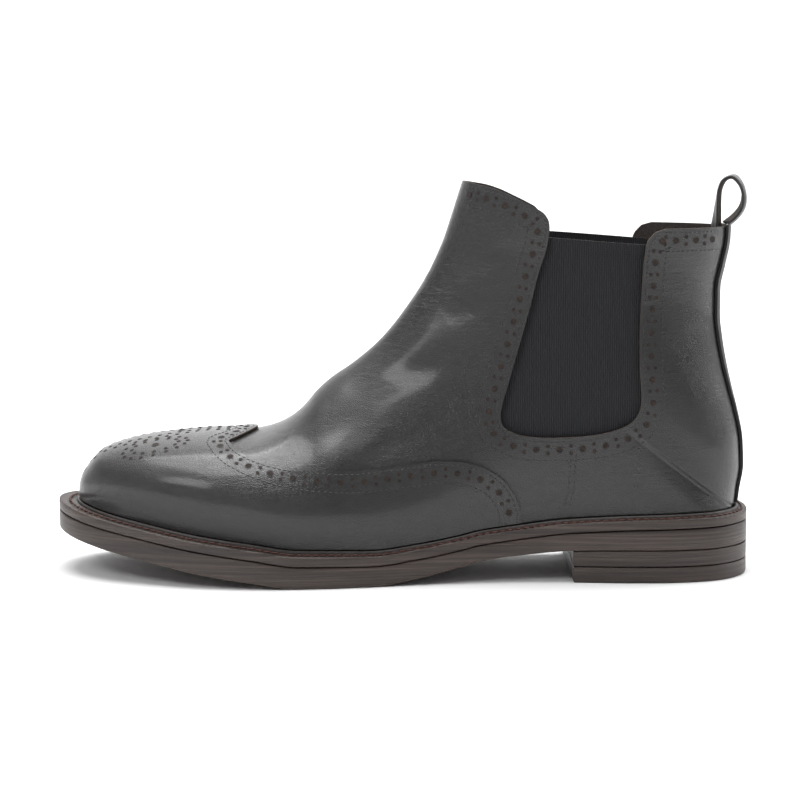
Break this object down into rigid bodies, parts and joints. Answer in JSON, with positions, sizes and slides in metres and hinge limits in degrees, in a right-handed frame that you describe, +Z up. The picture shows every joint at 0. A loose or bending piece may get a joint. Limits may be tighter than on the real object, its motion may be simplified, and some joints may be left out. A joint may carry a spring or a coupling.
{
  "type": "brogue boot",
  "caption": "Left ankle boot with a perforated wing cap, elastic side gores, a pull loop at the back, a ridged welt and a stacked heel.",
  "frame": {"origin": "middle of the heel's tread, on the floor", "axes": "-X to the toe, -Y to the outer side, +Z up"},
  "size_m": [0.3041, 0.108, 0.1732],
  "materials": {
    "calf": "polished black with a fine grain",
    "sole_leather": "dark brown, waxed edge",
    "rubber": "matt black",
    "elastic": "black rib",
    "lining": "matt dark brown"
  },
  "bodies": {
    "root": {"outsole": "sole_leather", "welt": "sole_leather", "heel_stack": "sole_leather", "heel_top_piece": "rubber", "insole": "lining", "upper": "calf", "wing_cap": "calf", "backstay": "calf", "gore_lateral": "elastic", "gore_medial": "elastic", "pull_loop": "calf"}
  },
  "joints": []
}
